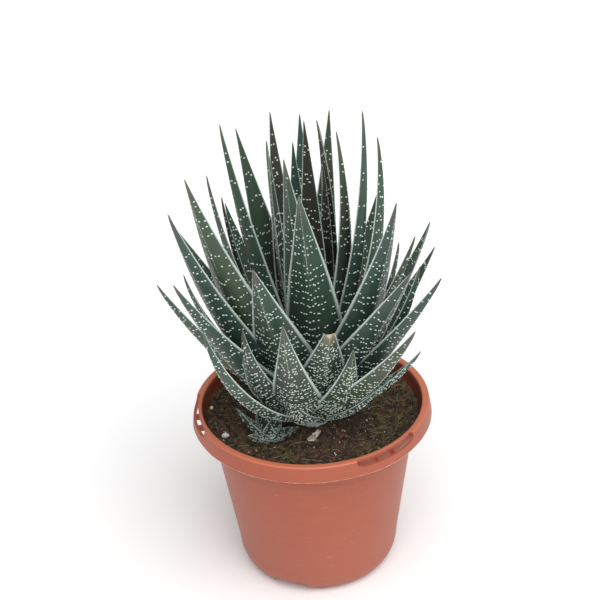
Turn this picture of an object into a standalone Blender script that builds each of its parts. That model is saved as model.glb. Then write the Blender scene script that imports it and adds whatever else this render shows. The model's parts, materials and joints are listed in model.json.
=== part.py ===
"""A potted aloe: a dense rosette of toothed leaves and a young offset, rooted in peat in a nursery pot.

Metres, +Z up. The pot stands on z = 0 with its axis on x = y = 0. The photographed side faces -Y.
"""

import math

import bmesh
import bpy
from mathutils import Matrix, Vector
from mathutils.bvhtree import BVHTree

MM = 0.001

# Pot: outer sizes of a 12 cm nursery pot with a skirted rim
POT_HEIGHT = 95 * MM
RIM_RADIUS = 60 * MM
RIM_OPENING = 56.2 * MM
SKIRT_DROP = 8 * MM
SKIRT_FLARE = 1 * MM
SKIRT_WALL = 1.25 * MM
RIM_ROUND = 0.8 * MM
RIM_THICKNESS = 1.8 * MM
WALL = 1.6 * MM
NECK_RADIUS = 51.8 * MM
NECK_Z = 81 * MM
SHOULDER = ((53 * MM, 82.6 * MM), (55.6 * MM, 85.4 * MM), (57.4 * MM, 90 * MM))
SHOULDER_LIFT = 0.8 * MM
CORNER_RADIUS = 42 * MM
CORNER_Z = 15 * MM
FOOT_RADIUS = 33 * MM
FOOT_RING = 5 * MM
FOOT_RAISE = 3 * MM
FLOOR = 1.8 * MM
POT_SEGMENTS = 48
RIDGE_DROPS = (7 * MM, 12.5 * MM)
RIDGE_STEP = 0.25 * MM

# Three hanger slots through the rim, and three drain notches under the wall between them
SLOT_ANGLES = (187, 307, 67)
SLOT_ARC = 35
SLOT_ROUND = 1.6 * MM
SLOT_STRAIGHT = 0.7
STRAP_HEIGHT = 4 * MM
STRAP_BULGE = 0.4 * MM
RIB_OFFSETS = (-5, 5)
RIB = 0.9 * MM
RIB_START = 56 * MM
RIB_DROP = 0.6 * MM
SLOT_REACH = (58.1 * MM, 64 * MM)
NOTCH_ANGLES = (246, 6, 126)
NOTCH_ARC = 40
NOTCH_SINK = 0.2 * MM
NOTCH_SLOPE = 2.2
NOTCH_REACH = (26 * MM, 41 * MM)
NOTCH_RISES = (0.4 * MM, 7.1 * MM)
DRAIN_RADIUS = 3.5 * MM
DRAIN_RING = 29.5 * MM
DRAIN_DEPTH = 12 * MM

# Soil, and the small gap that every piece keeps to its neighbour
GAP = 0.3 * MM
SOIL_LEVEL = 83.5 * MM
SOIL_RINGS = 9
SOIL_SEGMENTS = 40
SOIL_SWELL = 1.0 * MM
LONG_SWELL = 11 * MM
SHORT_SWELL = 6.7 * MM
SOIL_EDGE = 54.3 * MM
SOIL_BANK = 4.8 * MM

# Stem of the grown plant
STEM_RADIUS = 9 * MM
STEM_FOOT = 62 * MM
STEM_TOP = 99 * MM
STEM_SIDES = 14

# Roots of the leaves on the stem: the innermost leaf's and, from this lean on, the outermost leaves'
ROOT_LEAN = 60
ROOT_RADII = (2.5 * MM, 8.5 * MM)
ROOT_HEIGHTS = (16.5 * MM, 3.5 * MM)

# Each leaf: compass angle and lean from upright in degrees, length and width in mm, how far it curls back
# towards upright from root to tip and how far its face is turned about its own length in degrees, and how
# far its root sits to the side in mm. The innermost leaves come first.
LEAVES = (
    (65, 1, 147, 18, 13, 0, -1),
    (36, 3, 148, 17, 27, 0, -1),
    (40, 5, 124, 17, 16, 0, -1),
    (165, 5, 139, 18, 5, 0, 0),
    (343, 6, 148, 18, 28, -20, 0),
    (97, 8, 131, 17, 6, 0, 0),
    (114, 10, 147, 18, 10, 0, 1),
    (340, 10, 162, 18, 24, -10, 0),
    (198, 12, 160, 20, 9, 20, 0),
    (186, 12, 145, 18, 4, 10, 0),
    (347, 13, 151, 20, 36, -16, 0),
    (255, 13, 154, 22, -6, 0, 3),
    (66, 14, 145, 19, 8, 0, 0),
    (88, 16, 142, 20, 6, 0, 0),
    (183, 16, 121, 17, 18, 10, 0),
    (131, 17, 141, 23, 0, 0, 0),
    (185, 17, 135, 18, 18, 10, 0),
    (263, 21, 155, 30, -8, 4, 6),
    (227, 24, 167, 29, 15, 14, -1),
    (311, 24, 147, 27, 19, -14, -1),
    (335, 24, 109, 17, 30, 0, 0),
    (208, 27, 130, 20, -1, 10, 0),
    (327, 27, 122, 20, 14, 0, 0),
    (220, 28, 154, 26, 22, 14, 0),
    (251, 29, 130, 34, 7, 4, -1),
    (263, 36, 111, 25, 36, 0, -3),
    (320, 32, 119, 21, 36, 0, 0),
    (195, 32, 103, 20, 34, 0, 0),
    (307, 34, 131, 30, 3, -12, -2),
    (225, 36, 132, 27, 18, 12, 0),
    (209, 37, 120, 22, 21, 10, 0),
    (317, 37, 127, 24, 12, -10, 0),
    (238, 34, 91, 18, 58, 18, -2),
    (283, 40, 94, 20, 32, 0, 5),
    (236, 41, 120, 20, 51, -6, -1),
    (303, 43, 117, 28, 17, 0, 0),
    (254, 46, 46, 18, 52, 0, 0),
    (333, 48, 71, 18, 29, 0, 0),
    (304, 51, 58, 13, 26, 0, 1),
)

# One front leaf has lost its tip: the same columns, with the length up to the break, and the share lost
BROKEN_LEAF = (280, 35, 93, 29, 9, 0, -1)
BROKEN_OFF = 0.10

# Leaves of the far side, which follow the spiral of the front ones
REAR_LEAVES = 13
REAR_FROM = 18
REAR_TO = 162
REAR_LEANS = (34, 46, 55)
REAR_LENGTHS = (108, 98, 81)
REAR_WIDTH = 21
REAR_CURL = 24

# Young offset beside the stem: its place, its stem, and its own leaves in the same columns as above
OFFSET_PLACE = (-22 * MM, -19 * MM)
OFFSET_STEM = 3.2 * MM
OFFSET_FOOT = 72 * MM
OFFSET_SIZE = 0.35
OFFSET_LIFT = 1.6 * MM
OFFSET_LEAVES = (
    (215, 8, 11, 10, 20, 0, 0),
    (203, 35, 25, 9, 15, 0, 0),
    (108, 48, 18, 8, 15, 0, 0),
    (231, 55, 17, 8, 15, 0, 0),
    (338, 56, 15, 9, 15, 0, 0),
    (80, 59, 15, 9, 15, 0, 0),
)

# Leaf section and margin
LEAF_STEP = 9.5 * MM
LEAF_FEWEST_STEPS = 6
LEAF_SPREAD = 1.15
LEAF_TAPER = 1.6
LEAF_SHOULDER = 6
ROOT_NARROWING = 0.35
ROOT_LENGTH = 0.06
LEAF_THICKNESS = 0.19
LEAF_CHANNEL = 0.10
KEEL_FADE = 0.6
LEAF_TIP = 0.9 * MM
TIP_THICKNESS = 0.72 * MM
TOOTH = 0.55 * MM
FULL_TOOTH_WIDTH = 14 * MM

# Loose things on the soil: a dry leaf scrap, a feed bead and a pale chip
SCRAP_PLACE = (0.5 * MM, -17.5 * MM)
SCRAP_SIZE = (9 * MM, 4 * MM, 0.8 * MM)
SCRAP_TURN = 55
BEAD_PLACE = (-51.8 * MM, 5.5 * MM)
BEAD_RADIUS = 1 * MM
CHIP_PLACE = (-44.5 * MM, -18 * MM)
CHIP_SIZE = (4.8 * MM, 3.8 * MM, 2.6 * MM)


def clear_scene():
    for obj in list(bpy.data.objects):
        bpy.data.objects.remove(obj, do_unlink=True)


def material(name, colour, roughness, metallic=0.0):
    made = bpy.data.materials.new(name)
    made.use_nodes = True
    shader = made.node_tree.nodes["Principled BSDF"]
    shader.inputs["Base Color"].default_value = (*colour, 1.0)
    shader.inputs["Roughness"].default_value = roughness
    shader.inputs["Metallic"].default_value = metallic
    made.diffuse_color = (*colour, 1.0)
    return made


def add_object(name, bm, made_of, collection=None):
    mesh = bpy.data.meshes.new(name)
    bmesh.ops.recalc_face_normals(bm, faces=bm.faces)
    bm.to_mesh(mesh)
    bm.free()
    mesh.materials.append(made_of)
    obj = bpy.data.objects.new(name, mesh)
    (collection or bpy.context.scene.collection).objects.link(obj)
    return obj


def helper_collection(name):
    made = bpy.data.collections.new(name)
    bpy.context.scene.collection.children.link(made)
    return made


def polar(radius, degrees, z):
    angle = math.radians(degrees)
    return Vector((radius * math.cos(angle), radius * math.sin(angle), z))


def turned(profile, segments, sweep=360):
    """A bmesh of an (r, z) profile turned round the pot's axis; a full turn is merged into one skin."""
    bm = bmesh.new()
    verts = [bm.verts.new((r, 0, z)) for r, z in profile]
    edges = [bm.edges.new(pair) for pair in zip(verts, verts[1:])]
    bmesh.ops.spin(
        bm,
        geom=verts + edges,
        axis=(0, 0, 1),
        cent=(0, 0, 0),
        angle=math.radians(sweep),
        steps=segments,
        use_merge=sweep == 360,
    )
    bmesh.ops.remove_doubles(bm, verts=bm.verts, dist=0.001 * MM)
    return bm


def arc_block(inner, outer, low, high, degrees, sweep, steps):
    """A bmesh of a curved block: a rectangle in (r, z) swept about the axis, centred on a compass angle."""
    bm = bmesh.new()
    corners = ((inner, low), (outer, low), (outer, high), (inner, high))
    face = bm.faces.new([bm.verts.new((r, 0, z)) for r, z in corners])
    bmesh.ops.spin(
        bm,
        geom=[face],
        axis=(0, 0, 1),
        cent=(0, 0, 0),
        angle=math.radians(sweep),
        steps=steps,
    )
    turn = Matrix.Rotation(math.radians(degrees - sweep / 2), 4, "Z")
    bmesh.ops.transform(bm, matrix=turn, verts=bm.verts)
    return bm


def boolean(obj, collection, operation, solver="EXACT"):
    """Joins or cuts an object by every mesh of a collection, then removes the collection's objects."""
    modifier = obj.modifiers.new(operation.title(), "BOOLEAN")
    modifier.operation = operation
    modifier.operand_type = "COLLECTION"
    modifier.collection = collection
    modifier.solver = solver
    graph = bpy.context.evaluated_depsgraph_get()
    graph.update()
    result = bpy.data.meshes.new_from_object(obj.evaluated_get(graph))
    obj.modifiers.remove(modifier)
    obj.data = result
    for helper in list(collection.objects):
        bpy.data.objects.remove(helper, do_unlink=True)
    bpy.data.collections.remove(collection)


def angle_from(point, degrees):
    """How far round the axis a point lies from a compass angle, in degrees, from -180 to 180."""
    turn = math.degrees(math.atan2(point.y, point.x)) - degrees
    return (turn + 180) % 360 - 180


def quarter(start, end, steps):
    """Points of a quarter ellipse that leaves start level and reaches end upright, without its start."""
    turns = [(step + 1) / steps * math.pi / 2 for step in range(steps)]
    return [
        (
            start[0] + (end[0] - start[0]) * math.sin(turn),
            end[1] - (end[1] - start[1]) * math.cos(turn),
        )
        for turn in turns
    ]


def wall_radius(z):
    """Outer radius of the pot's plain wall at a height."""
    share = (z - CORNER_Z) / (NECK_Z - CORNER_Z)
    return CORNER_RADIUS + (NECK_RADIUS - CORNER_RADIUS) * share


def inner_profile():
    """The pot's inside from the floor's centre up to the rim's inner edge."""
    floor_top = FOOT_RAISE + FLOOR
    corner_start = (FOOT_RADIUS - 2 * MM, floor_top)
    corner_end = (CORNER_RADIUS - WALL, CORNER_Z)
    return [
        (0, floor_top),
        corner_start,
        *quarter(corner_start, corner_end, 4),
        (NECK_RADIUS - WALL, NECK_Z),
        *[(r - WALL, z + SHOULDER_LIFT) for r, z in SHOULDER],
        (RIM_OPENING, POT_HEIGHT - RIM_ROUND),
    ]


def make_pot(made_of):
    skirt_low = POT_HEIGHT - SKIRT_DROP
    channel_top = POT_HEIGHT - RIM_THICKNESS
    foot_inner = FOOT_RADIUS - FOOT_RING
    ridges = []
    for drop in reversed(RIDGE_DROPS):
        z = skirt_low - drop
        ridges += [(wall_radius(z), z), (wall_radius(z) + RIDGE_STEP, z + RIDGE_STEP)]
    outer = [
        (0, FOOT_RAISE),
        (foot_inner - FOOT_RAISE / 2, FOOT_RAISE),
        (foot_inner, 0),
        (FOOT_RADIUS, 0),
        *quarter((FOOT_RADIUS, 0), (CORNER_RADIUS, CORNER_Z), 5),
        *ridges,
        (NECK_RADIUS, NECK_Z),
        *SHOULDER,
        (RIM_OPENING + WALL, channel_top),
        (RIM_RADIUS - SKIRT_WALL, channel_top),
        (RIM_RADIUS + SKIRT_FLARE - SKIRT_WALL, skirt_low),
        (RIM_RADIUS + SKIRT_FLARE, skirt_low),
        (RIM_RADIUS, POT_HEIGHT - RIM_ROUND),
        (RIM_RADIUS - RIM_ROUND, POT_HEIGHT),
        (RIM_OPENING + RIM_ROUND, POT_HEIGHT),
    ]
    pot = add_object("pot", turned(outer + inner_profile()[::-1], POT_SEGMENTS), made_of)

    ribs = helper_collection("ribs")
    for degrees in SLOT_ANGLES:
        for offset in RIB_OFFSETS:
            bm = bmesh.new()
            bmesh.ops.create_cube(bm, size=1.0)
            length = RIM_RADIUS - RIB_START
            bmesh.ops.scale(bm, vec=(length, RIB, STRAP_HEIGHT - RIB_DROP), verts=bm.verts)
            middle = (RIB_START + length / 2, 0, skirt_low + STRAP_HEIGHT / 2)
            bmesh.ops.translate(bm, vec=middle, verts=bm.verts)
            turn = Matrix.Rotation(math.radians(degrees + offset), 4, "Z")
            bmesh.ops.transform(bm, matrix=turn, verts=bm.verts)
            add_object("rib", bm, made_of, ribs)
    boolean(pot, ribs, "UNION")

    cutters = helper_collection("cutters")
    for degrees in SLOT_ANGLES:
        strap_top = skirt_low + STRAP_HEIGHT
        slot = arc_block(*SLOT_REACH, strap_top, POT_HEIGHT + WALL, degrees, SLOT_ARC, 7)
        for vert in slot.verts:
            reach = abs(angle_from(vert.co, degrees)) / (SLOT_ARC / 2)
            if vert.co.z < POT_HEIGHT:
                vert.co.z += SLOT_ROUND * (max(0, reach - SLOT_STRAIGHT) / (1 - SLOT_STRAIGHT)) ** 2
        add_object("slot", slot, made_of, cutters)
    for degrees in NOTCH_ANGLES:
        notch = arc_block(*NOTCH_REACH, -WALL, WALL, degrees, NOTCH_ARC, 8)
        for vert in notch.verts:
            if vert.co.z > 0:
                outside = math.hypot(vert.co.x, vert.co.y) > sum(NOTCH_REACH) / 2
                reach = 1 - abs(angle_from(vert.co, degrees)) / (NOTCH_ARC / 2)
                rise = NOTCH_RISES[1 if outside else 0] + NOTCH_SINK
                vert.co.z = rise * min(1, NOTCH_SLOPE * reach) - NOTCH_SINK
        add_object("notch", notch, made_of, cutters)
        hole = bmesh.new()
        bmesh.ops.create_cone(
            hole, cap_ends=True, segments=12, radius1=DRAIN_RADIUS, radius2=DRAIN_RADIUS, depth=DRAIN_DEPTH
        )
        bmesh.ops.translate(hole, vec=polar(DRAIN_RING, degrees, FOOT_RAISE), verts=hole.verts)
        add_object("drain", hole, made_of, cutters)
    boolean(pot, cutters, "DIFFERENCE")

    for vert in pot.data.vertices:
        radius = math.hypot(vert.co.x, vert.co.y)
        on_strap = radius > RIM_RADIUS - WALL and vert.co.z < skirt_low + STRAP_HEIGHT + GAP
        for degrees in SLOT_ANGLES:
            share = abs(angle_from(vert.co, degrees)) / (SLOT_ARC / 2)
            if on_strap and share < 1:
                push = 1 + STRAP_BULGE * math.cos(share * math.pi / 2) ** 2 / radius
                vert.co.x *= push
                vert.co.y *= push
    pot.data.shade_smooth()
    pot.data.set_sharp_from_angle(angle=math.radians(40))
    return pot


def soil_height(x, y):
    """Height of the soil's surface: a slow swell that dies away at the wall, where the soil is banked up."""
    swell = math.sin(x / LONG_SWELL + 0.6) * math.cos(y / LONG_SWELL - 0.4)
    swell += 0.5 * math.sin((1.4 * x - y) / SHORT_SWELL)
    reach = min(1, math.hypot(x, y) / SOIL_EDGE)
    return SOIL_LEVEL + SOIL_SWELL * swell * reach * (1 - reach ** 8) + SOIL_BANK * reach ** 5


def make_soil(made_of):
    inside = [point for point in inner_profile() if point[1] < SOIL_LEVEL + SOIL_BANK - GAP]
    side = [(max(r - GAP, 0), z + (GAP if z < CORNER_Z else 0)) for r, z in inside]
    rings = [(SOIL_EDGE * (1 - ring / SOIL_RINGS), POT_HEIGHT) for ring in range(SOIL_RINGS + 1)]
    bm = turned(side + rings, SOIL_SEGMENTS)
    for vert in bm.verts:
        if vert.co.z > POT_HEIGHT - GAP:
            vert.co.z = soil_height(vert.co.x, vert.co.y)
    soil = add_object("soil", bm, made_of)

    holes = helper_collection("stem_holes")
    places = ((0, 0, STEM_RADIUS, STEM_FOOT), (*OFFSET_PLACE, OFFSET_STEM, OFFSET_FOOT))
    for x, y, radius, foot in places:
        depth = POT_HEIGHT - foot + GAP
        hole = bmesh.new()
        bmesh.ops.create_cone(
            hole,
            cap_ends=True,
            segments=STEM_SIDES * 2,
            radius1=radius + GAP * 1.5,
            radius2=radius + GAP * 1.5,
            depth=depth,
        )
        bmesh.ops.translate(hole, vec=(x, y, foot - GAP + depth / 2), verts=hole.verts)
        add_object("hole", hole, made_of, holes)
    boolean(soil, holes, "DIFFERENCE")
    soil.data.shade_smooth()
    soil.data.set_sharp_from_angle(angle=math.radians(50))
    return soil


def leaf_width(share):
    """Width along a leaf, as a share of its widest: a clasping root, a broad middle and an even taper."""
    taper = LEAF_TAPER * (1 - share)
    body = taper / (1 + taper ** LEAF_SHOULDER) ** (1 / LEAF_SHOULDER)
    return body * (1 - ROOT_NARROWING * math.exp(-share / ROOT_LENGTH))


def leaf_section(share, width, tooth):
    """Corners across a leaf, as (sideways, inward), named by their place on the straight bar."""
    half = width * leaf_width(share) / 2 + LEAF_TIP / 2 + tooth
    thick = width * LEAF_THICKNESS * (1 - share) ** KEEL_FADE + TIP_THICKNESS
    channel = width * LEAF_CHANNEL * (1 - share)
    return {(1, 0): (half, channel), (0, 0): (0, 0), (-1, 0): (-half, channel), (0, -1): (0, -thick)}


def leaf_blank(steps):
    """A straight bar, one unit a step: margins at x = 1 and -1, channel at x = 0 and keel at y = -1."""
    bm = bmesh.new()
    corners = ((1, 0), (0, 0), (-1, 0), (0, -1))
    end = bm.faces.new([bm.verts.new((x, y, 0)) for x, y in corners])
    for _ in range(steps):
        grown = bmesh.ops.extrude_face_region(bm, geom=[end])["geom"]
        if end.verts[0].co.z > 0:
            bmesh.ops.delete(bm, geom=[end], context="FACES_ONLY")
        end = next(item for item in grown if isinstance(item, bmesh.types.BMFace))
        bmesh.ops.translate(bm, vec=(0, 0, 1), verts=end.verts)
    return bm


def leaf_arc(spec, steps):
    """Where a leaf's midline runs: for each step its share of the length, (outward, up) place and angle."""
    lean, length, curl = spec[1], spec[2] * MM, spec[4]
    shares = [(step / steps) ** LEAF_SPREAD for step in range(steps + 1)]
    out, up = 0.0, 0.0
    places = [(0.0, out, up, math.radians(lean + curl / 2))]
    for before, share in zip(shares, shares[1:]):
        angle = math.radians(lean + curl * (0.5 - (before + share) / 2))
        out += length * (share - before) * math.sin(angle)
        up += length * (share - before) * math.cos(angle)
        places.append((share, out, up, math.radians(lean + curl * (0.5 - share))))
    return places


def make_leaf(name, root, spec, made_of, collection, lost=0.0):
    """A leaf: the straight bar laid along its arc, turned about its own length, with toothed margins."""
    width = spec[3] * MM
    steps = max(LEAF_FEWEST_STEPS, round(spec[2] * MM / LEAF_STEP))
    outward = polar(1, spec[0], 0)
    sideways = Vector((0, 0, 1)).cross(outward)
    places = leaf_arc(spec, steps)
    bm = leaf_blank(steps)
    for vert in bm.verts:
        step = round(vert.co.z)
        share, out, up, angle = places[step]
        inward = -outward * math.cos(angle) + Vector((0, 0, math.sin(angle)))
        turn = Matrix.Rotation(math.radians(spec[5]), 3, sideways.cross(inward))
        tooth = TOOTH * min(1, width / FULL_TOOTH_WIDTH) if step % 2 and 1 < step < steps else 0
        section = leaf_section(share * (1 - lost), width, tooth)
        across, depth = section[(round(vert.co.x), round(vert.co.y))]
        middle = root + sideways * spec[6] * MM + outward * out + Vector((0, 0, up))
        vert.co = middle + turn @ (sideways * across + inward * depth)
    bmesh.ops.triangulate(bm, faces=bm.faces)
    return add_object(name, bm, made_of, collection)


def drop_scraps(obj):
    """Keeps the largest body of a mesh, and removes sealed hollows and loose scraps left by a union."""
    bm = bmesh.new()
    bm.from_mesh(obj.data)
    left = set(bm.verts)
    bodies = []
    while left:
        seed = left.pop()
        body = {seed}
        edge_of = [seed]
        while edge_of:
            for edge in edge_of.pop().link_edges:
                for vert in edge.verts:
                    if vert in left:
                        left.remove(vert)
                        body.add(vert)
                        edge_of.append(vert)
        bodies.append(body)
    keep = max(bodies, key=len)
    stray = [vert for body in bodies if body is not keep for vert in body]
    bmesh.ops.delete(bm, geom=stray, context="VERTS")
    bmesh.ops.triangulate(bm, faces=bm.faces)
    bm.to_mesh(obj.data)
    bm.free()


def make_stem(name, x, y, radius, foot, top, made_of):
    bm = bmesh.new()
    depth = top - foot
    bmesh.ops.create_cone(
        bm, cap_ends=True, segments=STEM_SIDES, radius1=radius * 0.8, radius2=radius, depth=depth
    )
    bmesh.ops.translate(bm, vec=(x, y, foot + depth / 2), verts=bm.verts)
    return add_object(name, bm, made_of)


def leaf_root(lean, size):
    """Where a leaf leaves the stem, as (radius, height) in metres: upright ones near its top and axis."""
    share = min(lean / ROOT_LEAN, 1)
    radius = ROOT_RADII[0] + (ROOT_RADII[1] - ROOT_RADII[0]) * share
    height = ROOT_HEIGHTS[0] + (ROOT_HEIGHTS[1] - ROOT_HEIGHTS[0]) * share
    return size * radius, size * height


def rear_leaves():
    specs = []
    for index in range(REAR_LEAVES):
        degrees = REAR_FROM + (REAR_TO - REAR_FROM) * index / (REAR_LEAVES - 1)
        rank = index % len(REAR_LEANS)
        sizes = (REAR_LEANS[rank], REAR_LENGTHS[rank], REAR_WIDTH - rank, REAR_CURL)
        specs.append((degrees, *sizes, 0, 0))
    return specs


def make_rosette(specs, middle, size, stem, made_of):
    """Fuses the leaves, whose roots lie round a middle point, with their stem into one body."""
    leaves = helper_collection(stem.name + "_leaves")
    for spec, lost in specs:
        radius, height = leaf_root(spec[1], size)
        root = Vector(middle) + polar(radius, spec[0], height)
        make_leaf("leaf", root, spec, made_of, leaves, lost)
    boolean(stem, leaves, "UNION", "MANIFOLD")
    drop_scraps(stem)
    stem.data.shade_smooth()
    stem.data.set_sharp_from_angle(angle=math.radians(35))
    return stem


def make_plant(made_of):
    stem = make_stem("rosette", 0, 0, STEM_RADIUS, STEM_FOOT, STEM_TOP, made_of)
    specs = [(spec, 0.0) for spec in (*LEAVES, *rear_leaves())] + [(BROKEN_LEAF, BROKEN_OFF)]
    make_rosette(specs, (0, 0, SOIL_LEVEL), 1.0, stem, made_of)

    x, y = OFFSET_PLACE
    middle = (x, y, SOIL_LEVEL + OFFSET_LIFT)
    stem = make_stem("offset_rosette", x, y, OFFSET_STEM, OFFSET_FOOT, middle[2] + 4 * MM, made_of)
    make_rosette([(spec, 0.0) for spec in OFFSET_LEAVES], middle, OFFSET_SIZE, stem, made_of)


def seat(bm, place, soil):
    """Lowers a loose thing over its place until it lies one gap above the soil."""
    bmesh.ops.translate(bm, vec=(*place, POT_HEIGHT), verts=bm.verts)
    down = Vector((0, 0, -1))
    under = BVHTree.FromPolygons([vert.co for vert in soil.data.vertices],
                                 [face.vertices for face in soil.data.polygons])
    over = BVHTree.FromBMesh(bm)
    drops = [under.ray_cast(vert.co, down)[3] for vert in bm.verts]
    drops += [over.ray_cast(vert.co, -down)[3] for vert in soil.data.vertices if vert.co.z > CORNER_RADIUS]
    drop = min(found for found in drops if found is not None)
    bmesh.ops.translate(bm, vec=(0, 0, GAP - drop), verts=bm.verts)


def make_loose_things(soil, dry, pale):
    bm = bmesh.new()
    bmesh.ops.create_cube(bm, size=1.0)
    bmesh.ops.scale(bm, vec=SCRAP_SIZE, verts=bm.verts)
    turn = Matrix.Rotation(math.radians(SCRAP_TURN), 3, "Z")
    bmesh.ops.rotate(bm, matrix=turn, verts=bm.verts)
    seat(bm, SCRAP_PLACE, soil)
    add_object("dry_leaf_scrap", bm, dry)

    bm = bmesh.new()
    bmesh.ops.create_icosphere(bm, subdivisions=2, radius=BEAD_RADIUS)
    seat(bm, BEAD_PLACE, soil)
    add_object("feed_bead", bm, pale)

    bm = bmesh.new()
    bmesh.ops.create_icosphere(bm, subdivisions=1, radius=0.5)
    bmesh.ops.scale(bm, vec=CHIP_SIZE, verts=bm.verts)
    seat(bm, CHIP_PLACE, soil)
    add_object("pale_chip", bm, pale)


def main():
    clear_scene()
    terracotta = material("terracotta_plastic", (0.52, 0.145, 0.072), 0.5)
    peat = material("peat", (0.035, 0.022, 0.014), 0.95)
    leaf_green = material("leaf_green", (0.028, 0.075, 0.048), 0.42)
    dry = material("dry_leaf", (0.50, 0.42, 0.30), 0.9)
    pale = material("pale_grain", (0.62, 0.60, 0.50), 0.8)
    make_pot(terracotta)
    soil = make_soil(peat)
    make_plant(leaf_green)
    make_loose_things(soil, dry, pale)


main()
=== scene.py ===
"""The potted aloe, dressed: spotted leaves with toothed margins, peat with moss and fibres, and a moulded pot."""

import json
import math
import random

import bmesh
import bpy
from mathutils import Matrix, Vector, noise

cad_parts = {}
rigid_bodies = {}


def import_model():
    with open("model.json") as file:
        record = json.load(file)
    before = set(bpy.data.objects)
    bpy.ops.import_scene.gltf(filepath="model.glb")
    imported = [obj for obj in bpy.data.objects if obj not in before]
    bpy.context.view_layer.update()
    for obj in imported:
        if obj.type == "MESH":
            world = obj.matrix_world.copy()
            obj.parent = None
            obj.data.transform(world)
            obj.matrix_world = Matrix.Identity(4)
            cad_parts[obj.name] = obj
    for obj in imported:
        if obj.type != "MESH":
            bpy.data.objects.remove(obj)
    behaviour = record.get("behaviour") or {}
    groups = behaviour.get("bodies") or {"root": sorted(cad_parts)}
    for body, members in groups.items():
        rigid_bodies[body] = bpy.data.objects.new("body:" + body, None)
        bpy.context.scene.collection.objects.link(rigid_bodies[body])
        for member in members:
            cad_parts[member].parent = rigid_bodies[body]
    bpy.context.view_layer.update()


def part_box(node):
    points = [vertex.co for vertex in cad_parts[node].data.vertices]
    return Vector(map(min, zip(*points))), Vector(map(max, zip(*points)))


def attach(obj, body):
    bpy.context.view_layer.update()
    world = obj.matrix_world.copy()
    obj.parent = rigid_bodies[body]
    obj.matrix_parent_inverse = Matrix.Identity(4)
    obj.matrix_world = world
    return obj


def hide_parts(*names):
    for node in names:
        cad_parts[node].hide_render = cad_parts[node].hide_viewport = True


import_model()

MM = 0.001
UP = Vector((0, 0, 1))

# Pot, in the solid's own sizes
POT_HEIGHT = 95 * MM
RIM_RADIUS = 60 * MM
RIM_OPENING = 56.2 * MM
SKIRT_LOW = 87 * MM
SKIRT_FLARE = 1 * MM
SKIRT_WALL = 1.25 * MM
RIM_ROUND = 0.8 * MM
RIM_THICKNESS = 1.8 * MM
WALL = 1.6 * MM
NECK_RADIUS = 51.8 * MM
NECK_Z = 81 * MM
SHOULDER = ((53 * MM, 82.6 * MM), (55.6 * MM, 85.4 * MM), (57.4 * MM, 90 * MM))
SHOULDER_LIFT = 0.8 * MM
CORNER_RADIUS = 42 * MM
CORNER_Z = 15 * MM
FOOT_RADIUS = 33 * MM
FOOT_RING = 5 * MM
FOOT_RAISE = 3 * MM
FLOOR = 1.8 * MM
POT_SEGMENTS = 144
RIDGE_DROPS = (7 * MM, 12.5 * MM)
RIDGE_STEP = 0.25 * MM
SLOT_ANGLES = (187, 307, 67)
SLOT_ARC = 35
SLOT_ROUND = 1.6 * MM
SLOT_STRAIGHT = 0.7
STRAP_HEIGHT = 4 * MM
STRAP_BULGE = 0.4 * MM
RIB_OFFSETS = (-5, 5)
RIB = 0.9 * MM
RIB_START = 56 * MM
RIB_DROP = 0.6 * MM
SLOT_REACH = (58.1 * MM, 64 * MM)
NOTCH_ANGLES = (246, 6, 126)
NOTCH_ARC = 40
NOTCH_SINK = 0.2 * MM
NOTCH_SLOPE = 2.2
NOTCH_REACH = (26 * MM, 41 * MM)
NOTCH_RISES = (0.4 * MM, 7.1 * MM)
DRAIN_RADIUS = 3.5 * MM
DRAIN_RING = 29.5 * MM
DRAIN_DEPTH = 12 * MM
FLASH = 0.22 * MM

# Soil
SOIL_LEVEL = 83.5 * MM
SOIL_SWELL = 1.0 * MM
LONG_SWELL = 11 * MM
SHORT_SWELL = 6.7 * MM
SOIL_EDGE = 54.3 * MM
SOIL_BANK = 4.8 * MM
SOIL_SEGMENTS = 150
SOIL_RINGS = 50

# Leaf roots on the stem and leaf section, as in the solid
STEM_RADIUS = 9 * MM
STEM_TOP = 99 * MM
ROOT_LEAN = 60
ROOT_RADII = (2.5 * MM, 8.5 * MM)
ROOT_HEIGHTS = (16.5 * MM, 3.5 * MM)
LEAF_TAPER = 1.6
LEAF_SHOULDER = 6
ROOT_NARROWING = 0.35
ROOT_LENGTH = 0.06
LEAF_THICKNESS = 0.19
LEAF_CHANNEL = 0.10
KEEL_FADE = 0.6
LEAF_TIP = 0.7 * MM
TIP_THICKNESS = 0.6 * MM
LEAF_RING = 3 * MM
FACE_STRIPS = 10

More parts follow.
